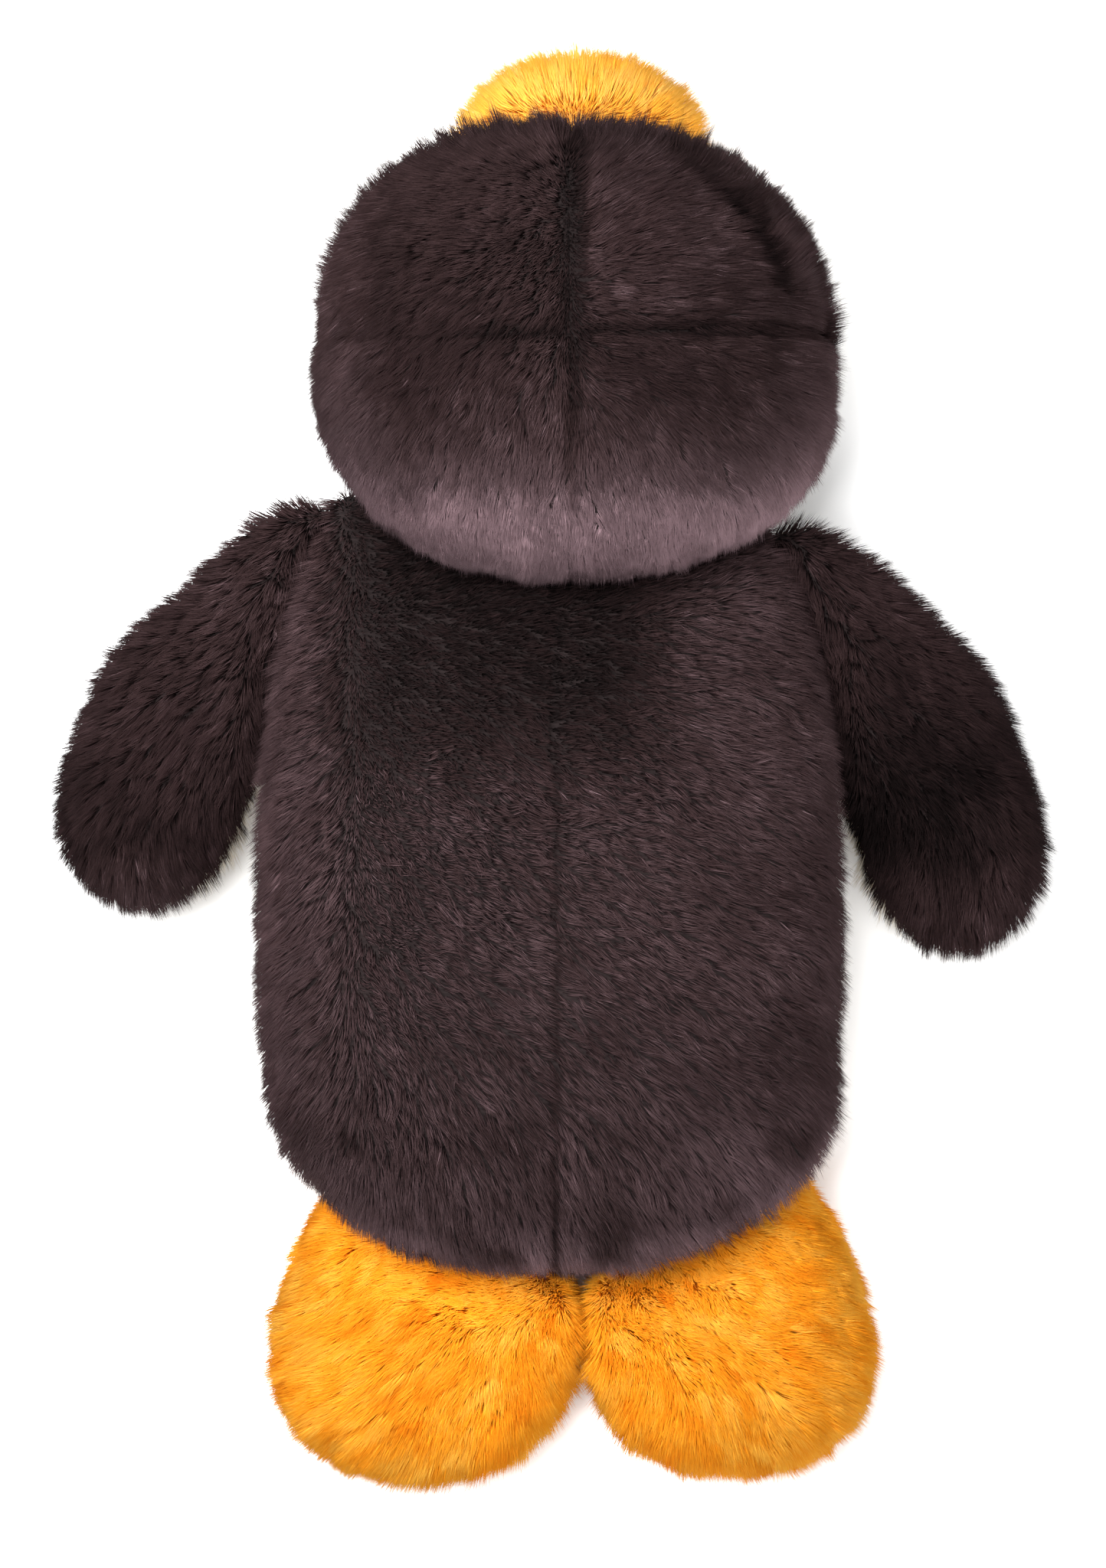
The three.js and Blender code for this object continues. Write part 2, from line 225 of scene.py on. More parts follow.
def keep_largest(mesh):
    """Deletes all but the largest connected shell."""
    solid = bmesh.new()
    solid.from_mesh(mesh)
    solid.verts.ensure_lookup_table()
    group = [-1] * len(solid.verts)
    sizes = []
    for start in solid.verts:
        if group[start.index] >= 0:
            continue
        label = len(sizes)
        group[start.index] = label
        queue = [start]
        for vertex in queue:
            for edge in vertex.link_edges:
                other = edge.other_vert(vertex)
                if group[other.index] < 0:
                    group[other.index] = label
                    queue.append(other)
        sizes.append(len(queue))
    best = sizes.index(max(sizes))
    extra = [v for v in solid.verts if group[v.index] != best]
    bmesh.ops.delete(solid, geom=extra, context="VERTS")
    bmesh.ops.recalc_face_normals(solid, faces=solid.faces)
    solid.to_mesh(mesh)
    solid.free()


def relaxed(mesh, rounds):
    """Moves each vertex halfway to its neighbours' middle, round after round."""
    solid = bmesh.new()
    solid.from_mesh(mesh)
    for _ in range(rounds):
        bmesh.ops.smooth_vert(
            solid, verts=solid.verts, factor=0.5, use_axis_x=True, use_axis_y=True, use_axis_z=True
        )
    solid.to_mesh(mesh)
    solid.free()
    mesh.update()


def subdivided(mesh):
    holder = new_object("subdivide", mesh)
    modifier = holder.modifiers.new("surface", "SUBSURF")
    modifier.levels = 1
    return applied(holder)


def tree_of(mesh):
    return BVHTree.FromPolygons([v.co for v in mesh.vertices], [p.vertices for p in mesh.polygons])


def depths_in(nodes, points):
    """For each point and each CAD node, the distance to the node's surface, negative inside it."""
    depths = np.empty((len(points), len(nodes)))
    for column, node in enumerate(nodes):
        tree = tree_of(node_mesh(node))
        for row, point in enumerate(points):
            place, normal, _, distance = tree.find_nearest(point)
            inside = distance < PANEL_THICKNESS / 2 and (Vector(point) - place).dot(normal) < 0
            depths[row, column] = -distance if inside else distance
    return depths


def seam_distance(depths):
    """How far each point is from the second nearest panel, so from a seam."""
    return np.maximum(np.sort(depths, axis=1)[:, 1], 0)


def puffed(mesh, pinned):
    """The filling pushes the cloth out between the pinned seams, by no more than the cap."""
    start, _, _ = arrays_of(mesh)
    holder = new_object("puff", mesh)
    group = holder.vertex_groups.new(name="seams")
    for index, share in enumerate(pinned):
        group.add([index], float(share), "REPLACE")
    modifier = holder.modifiers.new("cloth", "CLOTH")
    settings = modifier.settings
    settings.quality = 5
    settings.mass = PUFF_MASS
    settings.use_pressure = True
    settings.uniform_pressure_force = PUFF_PRESSURE
    settings.vertex_group_mass = "seams"
    settings.pin_stiffness = 1
    settings.effector_weights.gravity = 0
    scene = bpy.context.scene
    for number in range(PUFF_FRAMES):
        scene.frame_set(number + 1)
    moved, _, _ = arrays_of(holder.evaluated_get(bpy.context.evaluated_depsgraph_get()).data)
    bpy.data.objects.remove(holder)
    scene.frame_set(1)
    push = moved - start
    push *= np.minimum(1, PUFF_CAP / np.maximum(length_of(push), 1e-9))
    set_points(mesh, start + push)


def carried_on(mesh, panels, reach, neighbours):
    """Draws the bare filling at a joint, which no panel covers, on into the part next to it. With
    neighbours, only what is close to those nodes moves."""
    points, _, _ = arrays_of(mesh)
    bare = eased(depths_in(panels, points).min(1), *BARE_RANGE)
    if neighbours:
        bare *= 1 - eased(depths_in(neighbours, points).min(1), *NEIGHBOUR_RANGE)
    set_points(mesh, points + bare[:, None] * np.array(reach))


def grabbed(mesh, grabs):
    """Moves the surface round each place by a smooth share of the given move."""
    points, _, _ = arrays_of(mesh)
    for place, radius, move in grabs:
        near = 1 - eased(length_of(points - np.array(place))[:, 0], 0, radius)
        points = points + near[:, None] * np.array(move)
    set_points(mesh, points)


FORM = {
    "grabs": (),  # places, radii and moves
    "reach": None,  # how the bare filling at a joint is carried on into the next part
    "neighbours": (),
    "faint": (),  # places and radii where the seams hardly show
    "depth": PILE_DEPTH,
    "pull": SEAM_PULL,
    "voxel": VOXEL,
    "rounds": 6,  # of smoothing
    "bare_limit": 5 * MM,  # no pile grows further from the panels than this
}


def seam_strength(points, faint):
    """1 where the seams show fully, and less round the faint places."""
    strength = np.ones(len(points))
    for place, radius in faint:
        away = eased(length_of(points - np.array(place))[:, 0], 0.5 * radius, radius)
        strength *= FAINT_SEAM + (1 - FAINT_SEAM) * away
    return strength


def soft_form(nodes, panels, grabs, reach, neighbours, faint, depth, pull, voxel, rounds, bare_limit):
    """A closed cloth surface under the pile, puffed by its filling and drawn in at the seams. Each vertex
    knows its depth in every panel, and how strongly a seam shows there."""
    mesh = remeshed(joined(nodes), voxel)
    if reach:
        carried_on(mesh, panels, reach, neighbours)
    grabbed(mesh, grabs)
    outside = tree_of(mesh)
    relaxed(mesh, rounds)
    points, normals, _ = arrays_of(mesh)
    shrunk = np.array([outside.find_nearest(point)[3] for point in points])
    to_seam = seam_distance(depths_in(panels, points - normals * SEAM_PROBE))
    near = 1 - eased(to_seam, 0, SEAM_REACH)
    drawn = pull * near**2 * seam_strength(points, faint)
    inset = np.maximum(depth + drawn - shrunk, 0)
    set_points(mesh, points - normals * inset[:, None])
    puffed(mesh, np.clip(near * PIN_GAIN, 0, 1))
    relaxed(mesh, 2)
    mesh = subdivided(mesh)
    points, _, _ = arrays_of(mesh)
    points[:, 2] = np.maximum(points[:, 2], LOWEST_CLOTH)
    set_points(mesh, points)
    return {
        "mesh": mesh,
        "panels": list(panels),
        "depths": depths_in(panels, points),
        "strength": seam_strength(points, faint),
        "bare_limit": bare_limit,
    }


# ---------- cloth pieces ----------
def face_labels(form, faces):
    """The panel of each face: the one that its corners are deepest in, on the whole."""
    return form["depths"][faces].sum(1).argmin(1)


def cloth_piece(form, panel, name):
    """The backing cloth of one panel, with its thickness on the inner side."""
    mesh = form["mesh"]
    points, normals, _ = arrays_of(mesh)
    quads = np.array([p.vertices[:] for p in mesh.polygons])
    own = quads[face_labels(form, quads) == form["panels"].index(panel)]
    used, inverse = np.unique(own, return_inverse=True)
    faces = inverse.reshape(own.shape)
    outer = points[used]
    inner = outer - normals[used] * CLOTH_THICKNESS
    size = len(used)
    edges = np.stack([faces, np.roll(faces, -1, axis=1)], axis=2).reshape(-1, 2)
    known = {(a, b) for a, b in edges}
    rim = np.array([(b, a, a + size, b + size) for a, b in edges if (b, a) not in known])
    every = np.vstack([faces, faces[:, ::-1] + size, rim])
    made = bpy.data.meshes.new(name)
    made.from_pydata(np.vstack([outer, inner]), [], every.tolist())
    made.validate()
    smooth_shaded(made)
    return new_object(name, made)


def filling_piece(form, name, seed):
    """The stuffing inside a form: a lumpy body of fibre just under the cloth."""
    points, normals, _ = arrays_of(form["mesh"])
    mesh = form["mesh"].copy()
    mesh.name = name
    lumps = noise(points, 6 * MM, seed) + 0.6 * noise(points, 2.5 * MM, seed + 1)
    tree = tree_of(mesh)
    across = np.array([ray_length(tree, point, -normal) for point, normal in zip(points, normals)])
    inset = np.minimum(FILLING_INSET + FILLING_LUMPS * lumps, DEEPEST_INSET * across)
    set_points(mesh, points - normals * inset[:, None])
    smooth_shaded(mesh)
    return new_object(name, mesh)


def ray_length(tree, point, direction):
    """How far it is through a form from a point on its surface, or 0 if the ray leaves it."""
    start = Vector(point) + Vector(direction) * RAY_OFFSET
    distance = tree.ray_cast(start, Vector(direction))[3]
    return distance or 0


# ---------- the pile ----------
def surface_samples(form, panel, density, rng):
    """A function that reads vertex values at random places on a panel, and the area per place. There are
    fewer places underneath, and none on a limb's hidden root."""
    points, _, triangles = arrays_of(form["mesh"])
    labels = face_labels(form, triangles)
    hidden = form["depths"].min(1) > form["bare_limit"]
    own = triangles[(labels == form["panels"].index(panel)) & ~hidden[triangles].any(1)]
    corner = points[own]
    spread = np.cross(corner[:, 1] - corner[:, 0], corner[:, 2] - corner[:, 0])
    area = np.linalg.norm(spread, axis=1) / 2
    facing = spread[:, 2] / np.maximum(2 * area, 1e-15)
    weight = area * np.where(facing < UNDERSIDE, UNDERSIDE_SHARE, 1)
    count = min(int(weight.sum() * density), MOST_FIBRES)
    count = int(count * DENSITY_SHARE)
    steps = (np.arange(count) + rng.random(count)) / count * weight.sum()
    chosen = own[np.minimum(np.searchsorted(weight.cumsum(), steps), len(own) - 1)]
    u, v = rng.random((2, count))
    over = u + v > 1
    u[over], v[over] = 1 - u[over], 1 - v[over]
    shares = np.stack([1 - u - v, u, v], axis=1)

    def read(values):
        picked = values[chosen]
        if picked.ndim == 2:
            return (picked * shares).sum(1)
        return (picked * shares[:, :, None]).sum(1)

    return read, weight.sum() / max(count, 1)


def nearest_of(points, centres):
    tree = KDTree(len(centres))
    for index, centre in enumerate(centres):
        tree.insert(centre, index)
    tree.balance()
    return np.array([tree.find(point)[1] for point in points])


def fibre_mesh(name, roots, tips, normals, radius, tone):
    """Closed tapered fibres. In the tone map, the first coordinate is a fibre's tone, and the second runs
    from its root to its tip."""
    count = len(roots)
    axis = unit(tips - roots)
    side = unit(np.cross(axis, normals))
    up = np.cross(axis, side)
    angles = [step * math.tau / 3 for step in range(3)]
    ring = [roots + (side * math.cos(a) + up * math.sin(a)) * radius[:, None] for a in angles]
    points = np.stack([*ring, tips], axis=1)
    points[:, :, 2] = np.maximum(points[:, :, 2], FLOOR_CLEARANCE)
    corners = np.array([2, 1, 0, 0, 1, 3, 1, 2, 3, 2, 0, 3])  # the root, and three sides
    mesh = bpy.data.meshes.new(name)
    mesh.vertices.add(count * 4)
    mesh.vertices.foreach_set("co", points.astype(np.float32).ravel())
    loops = (np.arange(count)[:, None] * 4 + corners[None]).ravel()
    mesh.loops.add(len(loops))
    mesh.loops.foreach_set("vertex_index", loops.astype(np.int32))
    starts = np.arange(0, len(loops), 3, dtype=np.int32)
    mesh.polygons.add(len(starts))
    mesh.polygons.foreach_set("loop_start", starts)
    mesh.polygons.foreach_set("loop_total", np.full(len(starts), 3, np.int32))
    across = np.array([0, 0.5, 1, 0.5]) * TONE_WIDTH
    ahead = np.array([0, 0, 0, 1.0])
    layer = mesh.uv_layers.new(name="OFBake")
    tone = np.clip(tone, TONE_MARGIN, 1 - TONE_MARGIN - TONE_WIDTH)
    places = np.empty((count, len(corners), 2), np.float32)
    places[:, :, 0] = tone[:, None] + across[corners]
    places[:, :, 1] = ahead[corners]
    layer.data.foreach_set("uv", places.ravel())
    smooth_shaded(mesh)
    mesh.update()
    mesh.validate()
    return mesh


def pile_piece(form, panel, coat, seed):
    """The pile of one panel. A coat says how long, dense and upright its fibres are, and its comb gives
    the direction that they lie in. Fibres gather in tufts, and part at the seams."""
    rng = np.random.default_rng(seed)
    read, cell = surface_samples(form, panel, coat["density"] * SQUARE_CENTIMETRES, rng)
    points, vertex_normals, _ = arrays_of(form["mesh"])
    roots = read(points)
    normals = unit(read(vertex_normals))
    to_seam = read(seam_distance(form["depths"]))
    count = len(roots)
    lay, upright, tone = coat["comb"](roots, normals, lambda groups: read(edge_distance(form, groups)))
    lay = along_surface(lay, normals)
    tufts = max(FEWEST_TUFTS, int(count * cell / coat["tuft"] ** 2))
    centres = rng.choice(count, tufts, replace=False)
    grain = unit(lay.mean(0))
    squeezed = roots - (roots @ grain)[:, None] * grain * (1 - coat["streak"])
    tuft = centres[nearest_of(squeezed, squeezed[centres])]
    wave = 0.5 * noise(roots, 11 * MM, seed + 1) + 0.35 * noise(roots, 4 * MM, seed + 2)
    tuft_turn = rng.normal(0, coat["ruffle"], count)[tuft]
    lay = turned(lay, normals, wave * coat["swirl"] + tuft_turn + rng.normal(0, FIBRE_TURN, count))
    lift = np.radians(coat["lift"] + UPRIGHT_LIFT * upright) + rng.normal(0, FIBRE_LIFT, count)
    lift += LIFT_WAVE * noise(roots, 5 * MM, seed + 3)
    lift = np.clip(lift, *LIFT_RANGE)
    size = coat["length"] * (1 + UPRIGHT_LENGTH * upright) * rng.uniform(*LENGTH_RANGE, count)
    parted = (1 - eased(to_seam, 0.2 * MM, coat["parting"])) * read(form["strength"])
    size *= (1 - PARTED_LENGTH * parted) * (1 + TUFT_LENGTH * rng.normal(0, 1, count)[tuft])
    tips = roots + (lay * np.cos(lift)[:, None] + normals * np.sin(lift)[:, None]) * size[:, None]
    pull = coat["gather"] * rng.uniform(*GATHER_RANGE, count)[:, None]
    tips += (tips[tuft] - tips) * pull
    roots = roots - normals * ROOT_DEPTH
    radius = coat["radius"] * rng.uniform(*RADIUS_RANGE, count)
    uneven = rng.normal(0, TONE_SPREAD, count)
    patches = 1.8 * noise(roots, 8 * MM, seed + 4) + 1.4 * noise(roots, 3 * MM, seed + 5)
    uneven += coat["mottle"] * (rng.normal(0, 1, count)[tuft] + patches)
    # Painted shade darkens the pile in the partings at the seams.
    tone = tone + uneven * (1 - 0.75 * eased(tone, 0.5, 0.8)) - PARTED_PAINTED_SHADE * parted
    name = f"{panel}_pile"
    return new_object(name, fibre_mesh(name, roots, tips, normals, radius, tone))


def edge_distance(form, groups):
    """How far each vertex is from the seam between two groups of panels."""
    nearest = []
    for group in groups:
        columns = [form["panels"].index(panel) for panel in group]
        nearest.append(form["depths"][:, columns].min(1))
    return np.maximum(*nearest)


# ---------- combs: the way each panel's pile lies, how upright it stands, and its tone ----------
# Upright runs from -1, pressed flat, to 1. A tone is a place in a tone map, from 0, the darkest, to 1.
# Some combs also paint light and shade into the tone: sheen, the head's shadow on the back, and a groove's
# shade.
def directions(count, x, y, z=0.0):
    """Direction vectors, of which each coordinate is a number or one value per fibre."""
    return np.stack([np.broadcast_to(value, (count,)).astype(float) for value in (x, y, z)], axis=1)


def middle_of(node):
    low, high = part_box(node)
    return (low + high) / 2


def past(value, middle, low, high):
    """Eased from low to high millimetres past the middle."""
    return eased(value, middle + low * MM, middle + high * MM)


CROWN = ("crown_left", "crown_right")
NAPE = ("nape_left", "nape_right")
BACK = ("back_left", "back_right")
BELLY = ("belly_left", "belly_right")
FACE = ("face_left", "face_right", "chin")
CREST_RANGE = (1 * MM, 6 * MM)  # from the seam, over which the crest dies away
CREST_SEED = 77
CREST_CELL = 3 * MM  # of the noise that ruffles the crest's directions
CREST_TIPS = 2 * MM  # and that makes its height uneven
BLOTCH_SEED = 83
RIDGE_RADIUS = 35.5 * MM
RIDGE_START = (0.3, 0.55)  # sine of the angle round the head from its middle line
RIDGE_END = (0.93, 0.99)
RIDGE_SHARE = 0.7  # of the crest's height
GROOVE_WIDTH = 1.3 * MM
WING_SHADE_RADIUS = 21 * MM
# How far the pile turns at a wing's tip, where its patch of painted shade is, how dark that is, and how
# pale its top.
WING_LOOKS = {
    "left": {"turn": 1.2, "shade_x": 75 * MM, "shade": 0.08, "top": 0.08},
    "right": {"turn": 0.75, "shade_x": 62 * MM, "shade": 0.48, "top": 0},
}
HEAD_MIDDLE = middle_of("head_stuffing")
BODY_MIDDLE = middle_of("body_stuffing")
BEAK_MIDDLE = middle_of("beak_stuffing")


def right_ridge(points):
    """The ridge that carries the crest on down the crown's right side, and the line of painted shade for
    the groove inside it.
    """
    out = points[:, :2] - np.array(HEAD_MIDDLE[:2])
    radius = length_of(out)[:, 0]
    turn = -out[:, 0] / radius
    there = eased(turn, *RIDGE_START) * (1 - eased(turn, *RIDGE_END)) * (out[:, 1] < 0)
    painted_groove_shade = np.exp(-(((radius - RIDGE_RADIUS) / GROOVE_WIDTH) ** 2))
    return there * eased(radius, RIDGE_RADIUS, RIDGE_RADIUS + 2 * MM), there * painted_groove_shade


def crown_comb(points, normals, distance):
    """Sideways off the middle on the toy's right, down and out on its left, upstanding on the crest."""
    left = past(points[:, 0], HEAD_MIDDLE.x, -3, 3)
    lay = directions(len(points), -1 + 1.55 * left, 0.12 + 0.7 * left)
    ridge, painted_groove_shade = right_ridge(points)
    crest = 1 - eased(distance((CROWN, ("brow_band",))), *CREST_RANGE)
    crest = np.maximum(crest, RIDGE_SHARE * ridge)
    ruffled = directions(len(points), 1.3 * noise(points, CREST_CELL, CREST_SEED), -1)
    lay = lay * (1 - 0.9 * crest[:, None]) + ruffled * crest[:, None]
    upright = crest * (0.75 + 0.5 * noise(points, CREST_TIPS, CREST_SEED + 1))
    side = past(np.abs(points[:, 0] - HEAD_MIDDLE.x), 0, 28, 42)
    # Painted shade along the groove line; the crown is paler towards its sides.
    return lay, upright, 0.59 - 0.18 * left * (1 - side) + 0.06 * side + 0.05 * crest - 0.45 * painted_groove_shade


def brow_comb(points, normals, distance):
    """Upstanding along the crest, and down over the face below it."""
    crest = 1 - eased(distance((CROWN, ("brow_band",))), *CREST_RANGE)
    ruffle = 1.2 * crest * noise(points, CREST_CELL, CREST_SEED)
    out = 0.5 * np.sign(points[:, 0] - HEAD_MIDDLE.x) + ruffle
    lay = directions(len(points), out, -1, -1 + 1.4 * crest)
    return lay, crest * (0.85 + 0.5 * noise(points, CREST_TIPS, CREST_SEED + 1)), 0.44 + 0.12 * crest


def nape_comb(points, normals, distance):
    """Down to the neck, where the pile lies flat, with a painted sheen low on the nape."""
    left = past(points[:, 0], HEAD_MIDDLE.x, -4, 4)
    low = past(points[:, 1], HEAD_MIDDLE.y, -6, 34)
    sideways = (-1 + 1.5 * left) * (1 - 0.85 * low)
    lay = directions(len(points), sideways, 0.35 + 0.45 * left + 0.6 * low, -0.6 * low)
    under = eased(-normals[:, 2], -0.1, 0.5)
    right = past(-points[:, 0], -HEAD_MIDDLE.x, 22, 36)
    side = past(np.abs(points[:, 0] - HEAD_MIDDLE.x), 0, 26, 40)
    # Painted sheen: paler low on the nape, less where it faces down. The head's sides are paler too.
    tone = 0.42 + 0.27 * side * (1 - low) + 0.57 * low**1.2 * (1 - 0.6 * under)
    return lay, 0.2 * right * (1 - low) - 0.25 * low, tone


def face_comb(points, normals, distance):
    """Away from the beak, and lying flat above it."""
    away = points - np.array(BEAK_MIDDLE)
    above = past(away[:, 2], 0, 2, 8) * (1 - past(np.abs(away[:, 0]), 0, 20, 30))
    return away, -0.8 * above, 0.5


def back_comb(points, normals, distance):
    """Down to the tail and over to the toy's right, but outward in a strip along its left side. It has
    painted shade high up between the wings, where the head shadows it, and painted sheen low on its right
    and on the rim next to the feet."""
    left = points[:, 0] - BODY_MIDDLE.x
    strip = past(left, 0, 28, 42)
    low = past(points[:, 1], BODY_MIDDLE.y, 30, 52)
    lay = directions(len(points), (-0.82 + 1.3 * strip) * (1 - 0.5 * low), 0.6 + 0.25 * strip, -0.3 * low)
    # Painted shadow of the head, high up between the wings, fading towards the sides.
    high = 1 - past(points[:, 1], BODY_MIDDLE.y, -36, -8)
    edge = np.maximum(past(-left, 0, 6, 26), past(left, 0, 26, 42))
    blotch = low * np.maximum(noise(points, 9 * MM, BLOTCH_SEED), 0)
    # Painted sheen low on the right and on the rim next to the feet, and a faint painted sheen on the left
    # strip.
    sheen = low * past(-left, 0, 16, 34)
    rim = eased(normals[:, 1], 0.6, 0.9)
    tone = 0.665 + 0.02 * low + 0.04 * strip - 0.52 * high * (1 - edge) - 0.35 * blotch
    return lay, 0.15 * low, tone + 0.14 * sheen + 0.16 * rim * (1 - sheen)


def belly_comb(points, normals, distance):
    """Towards the tail, but flat, and down and away from the seat, next to it."""
    edge = 1 - past(distance((BELLY, ("seat",))), 0, 2, 8)
    out = np.sign(points[:, 0]) * (0.3 - 0.6 * edge)
    return directions(len(points), out, 1 - 1.6 * edge, -edge), -0.6 * edge, 0.5


def seat_comb(points, normals, distance):
    """Down and towards the tail."""
    return directions(len(points), 0.2 * np.sign(points[:, 0]), 0.5, -1), 0.1, 0.42


def side_of(points):
    """The toy's side that a wing's or a foot's fibres are on."""
    return "left" if points[:, 0].mean() > 0 else "right"


def wing_back_comb(points, normals, distance):
    """Along the wing from its root, and straight down or back towards the body at its tip."""
    name = side_of(points)
    look, side = WING_LOOKS[name], SIDES[name]
    tip = past(points[:, 1], BODY_MIDDLE.y, -22, 2)
    out = (0.75 - look["turn"] * tip) * side
    shaded = np.array((look["shade_x"] * side, BODY_MIDDLE.y - 10 * MM))
    near = np.exp(-(((points[:, :2] - shaded) / WING_SHADE_RADIUS) ** 2).sum(1))
    end = past(points[:, 1], BODY_MIDDLE.y, -9, 3)
    top = 1 - past(points[:, 1], BODY_MIDDLE.y, -52, -38)
    # A patch of painted shade, dark on the right wing and faint on the left.
    tone = 0.46 - look["shade"] * near + 0.26 * end + look["top"] * top
    return directions(len(points), out, 0.7 + 0.25 * tip, -0.2 * tip), 0.1, tone


def wing_front_comb(points, normals, distance):
    """Along the wing. At the seam it stands out past the back panel on the upper edge, and lies flat and
    down on the rest."""
    name = side_of(points)
    seam = 1 - past(distance(((f"wing_{name}_back",), (f"wing_{name}_front",))), 0, 1, 6)
    upper = 1 - past(points[:, 1], BODY_MIDDLE.y, -46, -24)
    out, flat = seam * upper, seam * (1 - upper)
    lay = directions(len(points), 0.4 * SIDES[name], 0.8 - 2 * out, 0.6 * out - 1.5 * flat)
    return lay, 0.6 * out - 0.7 * flat, 0.55


def foot_comb(points, normals, distance):
    """Outward from the foot's middle, straighter over the toes, and lying flatter at the ankle."""
    middle = points.mean(0)
    toes = past(points[:, 1], middle[1], 0, 22)
    ankle = 1 - past(points[:, 1], middle[1], -20, 4)
    spread = 20 * (points[:, 0] - middle[0])
    across = spread + (0.9 - 0.7 * toes) * SIDES[side_of(points)]
    return directions(len(points), across, 0.45 + 0.5 * toes, -0.1), 0.12 - 0.35 * ankle, 0.5


def beak_comb(points, normals, distance):
    """Radiating forward from the brow."""
    away = points - np.array(BEAK_MIDDLE)
    away[:, 1] -= 12 * MM
    return away, 0.05, 0.52


COAT = {
    "density": 850,  # fibres in a square centimetre
    "length": 4.5 * MM,
    "lift": 42,  # degrees between a fibre and the cloth
    "radius": 0.095 * MM,
    "tuft": 1.9 * MM,  # distance between tufts
    "gather": 0.45,  # how far a tuft draws its fibres together
    "ruffle": 0.2,  # how much the directions change from tuft to tuft, in radians
    "swirl": 0.4,  # how much they wave over the panel
    "streak": 0.5,  # a tuft's width as a share of its length
    "mottle": 0.045,  # how much the tone changes from tuft to tuft
    "parting": 1.8 * MM,  # how far from a seam the pile is short and darkened by painted shade
}
COATS = {
    "crown": dict(COAT, comb=crown_comb, density=1200, gather=0.26, ruffle=0.15, parting=2.4 * MM),
    "nape": dict(COAT, comb=nape_comb, density=1200, gather=0.2, parting=1.6 * MM),
    "brow": dict(COAT, comb=brow_comb, density=1100, length=4.4 * MM, tuft=1.4 * MM, gather=0.3),
    "face": dict(COAT, comb=face_comb, density=480, length=4.6 * MM),
    "chin": dict(COAT, comb=face_comb, density=360, length=4.6 * MM),
    "back": dict(COAT, comb=back_comb, tuft=1.7 * MM, parting=1.4 * MM),
    "belly": dict(COAT, comb=belly_comb, density=300),
    "seat": dict(COAT, comb=seat_comb, density=500),
    "wing_back": dict(COAT, comb=wing_back_comb, density=1200, length=4.6 * MM, gather=0.4),
    "wing_front": dict(COAT, comb=wing_front_comb, density=420, length=5.2 * MM),
    "foot": dict(
        COAT,
        comb=foot_comb,
        density=2100,
        length=5 * MM,
        lift=41,
        radius=0.13 * MM,
        tuft=2.2 * MM,
        gather=0.07,
        ruffle=0.12,
        swirl=1,
        mottle=0.11,
        parting=1 * MM,
    ),
    "beak": dict(
        COAT,
        comb=beak_comb,
        density=1400,
        length=5 * MM,
        lift=46,
        radius=0.09 * MM,
        gather=0.12,
        ruffle=0.12,
        mottle=0.1,
        parting=0.9 * MM,
    ),
}


def coat_of(panel):
    """crown_left is a crown, wing_left_back is a wing_back, and foot_left_sole is a foot."""
    words = [word for word in panel.split("_") if word not in SIDES]
    return COATS.get("_".join(words[:2]), COATS.get(words[0]))


# ---------- materials ----------
class Nodes:
    """A material's node tree, and short ways to add to it."""

    def __init__(self, name):
        self.material = bpy.data.materials.new(name)
        self.material.use_nodes = True
        self.tree = self.material.node_tree
        self.shader = self.tree.nodes["Principled BSDF"]

    def add(self, kind, **settings):
        node = self.tree.nodes.new(f"ShaderNode{kind}")
        for key, value in settings.items():
            setattr(node, key, value)
        return node

    def link(self, output, socket):
        self.tree.links.new(output, socket)

    def ramp(self, source, stops):
        node = self.add("ValToRGB")
        band = node.color_ramp
        while len(band.elements) < len(stops):
            band.elements.new(0.5)
        for element, (place, color) in zip(band.elements, stops):
            element.position = place
            element.color = (*color, 1)
        self.link(source, node.inputs["Fac"])
        return node.outputs["Color"]

    def mixed(self, blend, share, first, second):
        node = self.add("Mix", data_type="RGBA", blend_type=blend)
        node.inputs["Factor"].default_value = share
        self.link(first, node.inputs["A"])
        self.link(second, node.inputs["B"])
        return node.outputs["Result"]

    def noise(self, scale, detail=4, roughness=0.6):
        """Noise over the object, with the scale in cells per metre."""
        place = self.add("TexCoord").outputs["Object"]
        node = self.add("TexNoise")
        node.inputs["Scale"].default_value = scale
        node.inputs["Detail"].default_value = detail
        node.inputs["Roughness"].default_value = roughness
        self.link(place, node.inputs["Vector"])
        return node.outputs["Fac"]

    def bump(self, height, strength, distance):
        node = self.add("Bump")
        node.inputs["Strength"].default_value = strength
        node.inputs["Distance"].default_value = distance
        self.link(height, node.inputs["Height"])
        self.link(node.outputs["Normal"], self.shader.inputs["Normal"])

    def set(self, **values):
        for key, value in values.items():
            self.shader.inputs[key.replace("_", " ")].default_value = value


def grey(value):
    return (value, value, value)


def scaled(color, share):
    return tuple(channel * share for channel in color)


def pile_material(name, tones, painted_root_shade):
    """Fibres whose color follows their tone, with painted shade towards their roots."""
    nodes = Nodes(name)
    layer = nodes.add("UVMap", uv_map="OFBake")
    split = nodes.add("SeparateXYZ")
    nodes.link(layer.outputs["UV"], split.inputs["Vector"])
    tone = nodes.ramp(split.outputs["X"], tones)
    # Painted shade: each fibre darkens from its tip towards its root, standing in for the pile's
    # self-shadow.
    shades = [(0, grey(painted_root_shade)), (0.45, grey(0.5 + painted_root_shade / 2)), (1, grey(1))]
    shade = nodes.ramp(split.outputs["Y"], shades)
    nodes.link(nodes.mixed("MULTIPLY", 1, tone, shade), nodes.shader.inputs["Base Color"])
    nodes.set(Roughness=0.8, Specular_IOR_Level=0.05)
    return nodes.material


